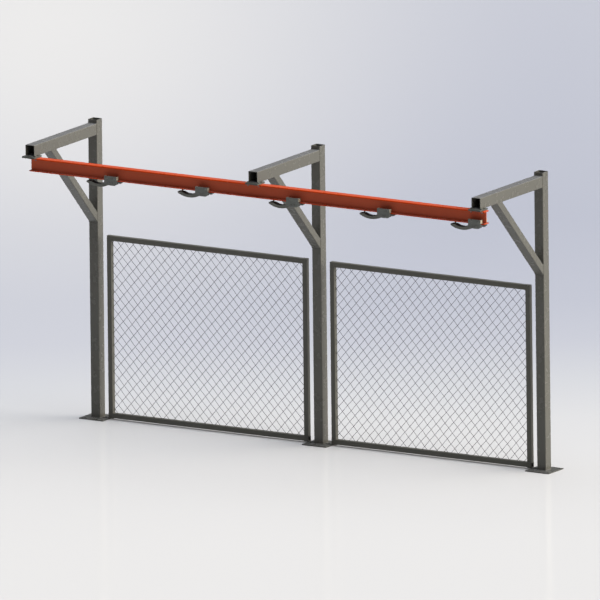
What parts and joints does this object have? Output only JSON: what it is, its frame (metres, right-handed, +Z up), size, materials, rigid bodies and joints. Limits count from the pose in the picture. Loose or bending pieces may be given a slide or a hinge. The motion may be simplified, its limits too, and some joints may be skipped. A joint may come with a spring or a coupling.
{
  "type": "overhead monorail frame",
  "caption": "Floor-standing cantilever frame with a hung I-beam rail, hanger trolleys that roll along it and framed diamond-mesh guard panels between the posts.",
  "frame": {"origin": "centre of the middle base plate's underside, at floor level on the middle post's axis", "axes": "+X along the rail to the right, +Y away from the rail towards the back of the posts, +Z up"},
  "size_m": [5.27, 1.36, 2.92],
  "materials": {
    "frame_paint": "semi-gloss grey paint",
    "rail_paint": "gloss orange paint, worn on the running surfaces",
    "base_plate_paint": "glossy dark grey paint",
    "hanger_plate_paint": "semi-gloss grey paint",
    "panel_paint": "satin dark grey paint",
    "mesh_wire": "dull galvanised wire",
    "fasteners": "zinc plated",
    "trolley_plate": "dark blue-grey paint",
    "trolley_casting": "dark painted casting",
    "trolley_pins": "oiled steel",
    "trolley_wheel": "turned steel, polished tread"
  },
  "bodies": {
    "frame": {"post_left": "frame_paint", "post_middle": "frame_paint", "post_right": "frame_paint", "base_plate_left": "base_plate_paint", "base_plate_middle": "base_plate_paint", "base_plate_right": "base_plate_paint", "arm_left": "frame_paint", "arm_middle": "frame_paint", "arm_right": "frame_paint", "brace_left": "frame_paint", "brace_middle": "frame_paint", "brace_right": "frame_paint", "hanger_plate_left": "hanger_plate_paint", "hanger_plate_middle": "hanger_plate_paint", "hanger_plate_right": "hanger_plate_paint", "rail_beam": "rail_paint", "hanger_bolts": "fasteners", "hanger_nuts": "fasteners", "panel_lugs": "base_plate_paint", "lug_screws": "fasteners", "panel_left_bottom_rail": "panel_paint", "panel_left_top_rail": "panel_paint", "panel_left_stile_a": "panel_paint", "panel_left_stile_b": "panel_paint", "panel_left_mesh": "mesh_wire", "panel_right_bottom_rail": "panel_paint", "panel_right_top_rail": "panel_paint", "panel_right_stile_a": "panel_paint", "panel_right_stile_b": "panel_paint", "panel_right_mesh": "mesh_wire"},
    "trolley_1": {"trolley_1_front_plate": "trolley_plate", "trolley_1_rear_plate": "trolley_plate", "trolley_1_carrier": "trolley_casting", "trolley_1_pins": "trolley_pins"},
    "trolley_1_wheels_left_body": {"trolley_1_wheels_left": "trolley_wheel"},
    "trolley_1_wheels_right_body": {"trolley_1_wheels_right": "trolley_wheel"},
    "trolley_2": {"trolley_2_front_plate": "trolley_plate", "trolley_2_rear_plate": "trolley_plate", "trolley_2_carrier": "trolley_casting", "trolley_2_pins": "trolley_pins"},
    "trolley_2_wheels_left_body": {"trolley_2_wheels_left": "trolley_wheel"},
    "trolley_2_wheels_right_body": {"trolley_2_wheels_right": "trolley_wheel"},
    "trolley_3": {"trolley_3_front_plate": "trolley_plate", "trolley_3_rear_plate": "trolley_plate", "trolley_3_carrier": "trolley_casting", "trolley_3_pins": "trolley_pins"},
    "trolley_3_wheels_left_body": {"trolley_3_wheels_left": "trolley_wheel"},
    "trolley_3_wheels_right_body": {"trolley_3_wheels_right": "trolley_wheel"},
    "trolley_4": {"trolley_4_front_plate": "trolley_plate", "trolley_4_rear_plate": "trolley_plate", "trolley_4_carrier": "trolley_casting", "trolley_4_pins": "trolley_pins"},
    "trolley_4_wheels_left_body": {"trolley_4_wheels_left": "trolley_wheel"},
    "trolley_4_wheels_right_body": {"trolley_4_wheels_right": "trolley_wheel"},
    "trolley_5": {"trolley_5_front_plate": "trolley_plate", "trolley_5_rear_plate": "trolley_plate", "trolley_5_carrier": "trolley_casting", "trolley_5_pins": "trolley_pins"},
    "trolley_5_wheels_left_body": {"trolley_5_wheels_left": "trolley_wheel"},
    "trolley_5_wheels_right_body": {"trolley_5_wheels_right": "trolley_wheel"}
  },
  "joints": [
    {"name": "trolley_1_travel", "type": "slide", "parent": "frame", "child": "trolley_1", "axis": [1, 0, 0], "range_m": [-0.6, 0.32]},
    {"name": "trolley_1_wheels_left_spin", "type": "hinge", "parent": "trolley_1", "child": "trolley_1_wheels_left_body", "pos_m": [-1.625, -1.155, 2.6573], "axis": [0, 1, 0], "continuous": true},
    {"name": "trolley_1_wheels_right_spin", "type": "hinge", "parent": "trolley_1", "child": "trolley_1_wheels_right_body", "pos_m": [-1.545, -1.155, 2.6573], "axis": [0, 1, 0], "continuous": true},
    {"name": "trolley_2_travel", "type": "slide", "parent": "frame", "child": "trolley_2", "axis": [1, 0, 0], "range_m": [-0.32, 0.32]},
    {"name": "trolley_2_wheels_left_spin", "type": "hinge", "parent": "trolley_2", "child": "trolley_2_wheels_left_body", "pos_m": [-0.605, -1.155, 2.6573], "axis": [0, 1, 0], "continuous": true},
    {"name": "trolley_2_wheels_right_spin", "type": "hinge", "parent": "trolley_2", "child": "trolley_2_wheels_right_body", "pos_m": [-0.525, -1.155, 2.6573], "axis": [0, 1, 0], "continuous": true},
    {"name": "trolley_3_travel", "type": "slide", "parent": "frame", "child": "trolley_3", "axis": [1, 0, 0], "range_m": [-0.32, 0.32]},
    {"name": "trolley_3_wheels_left_spin", "type": "hinge", "parent": "trolley_3", "child": "trolley_3_wheels_left_body", "pos_m": [0.415, -1.155, 2.6573], "axis": [0, 1, 0], "continuous": true},
    {"name": "trolley_3_wheels_right_spin", "type": "hinge", "parent": "trolley_3", "child": "trolley_3_wheels_right_body", "pos_m": [0.495, -1.155, 2.6573], "axis": [0, 1, 0], "continuous": true},
    {"name": "trolley_4_travel", "type": "slide", "parent": "frame", "child": "trolley_4", "axis": [1, 0, 0], "range_m": [-0.32, 0.32]},
    {"name": "trolley_4_wheels_left_spin", "type": "hinge", "parent": "trolley_4", "child": "trolley_4_wheels_left_body", "pos_m": [1.435, -1.155, 2.6573], "axis": [0, 1, 0], "continuous": true},
    {"name": "trolley_4_wheels_right_spin", "type": "hinge", "parent": "trolley_4", "child": "trolley_4_wheels_right_body", "pos_m": [1.515, -1.155, 2.6573], "axis": [0, 1, 0], "continuous": true},
    {"name": "trolley_5_travel", "type": "slide", "parent": "frame", "child": "trolley_5", "axis": [1, 0, 0], "range_m": [-0.32, 0.025]},
    {"name": "trolley_5_wheels_left_spin", "type": "hinge", "parent": "trolley_5", "child": "trolley_5_wheels_left_body", "pos_m": [2.455, -1.155, 2.6573], "axis": [0, 1, 0], "continuous": true},
    {"name": "trolley_5_wheels_right_spin", "type": "hinge", "parent": "trolley_5", "child": "trolley_5_wheels_right_body", "pos_m": [2.535, -1.155, 2.6573], "axis": [0, 1, 0], "continuous": true}
  ],
  "couplings": [
    {"joint": "trolley_1_wheels_left_spin", "follows": "trolley_1_travel", "rad_per_m": 62.5},
    {"joint": "trolley_1_wheels_right_spin", "follows": "trolley_1_travel", "rad_per_m": 62.5},
    {"joint": "trolley_2_wheels_left_spin", "follows": "trolley_2_travel", "rad_per_m": 62.5},
    {"joint": "trolley_2_wheels_right_spin", "follows": "trolley_2_travel", "rad_per_m": 62.5},
    {"joint": "trolley_3_wheels_left_spin", "follows": "trolley_3_travel", "rad_per_m": 62.5},
    {"joint": "trolley_3_wheels_right_spin", "follows": "trolley_3_travel", "rad_per_m": 62.5},
    {"joint": "trolley_4_wheels_left_spin", "follows": "trolley_4_travel", "rad_per_m": 62.5},
    {"joint": "trolley_4_wheels_right_spin", "follows": "trolley_4_travel", "rad_per_m": 62.5},
    {"joint": "trolley_5_wheels_left_spin", "follows": "trolley_5_travel", "rad_per_m": 62.5},
    {"joint": "trolley_5_wheels_right_spin", "follows": "trolley_5_travel", "rad_per_m": 62.5}
  ]
}
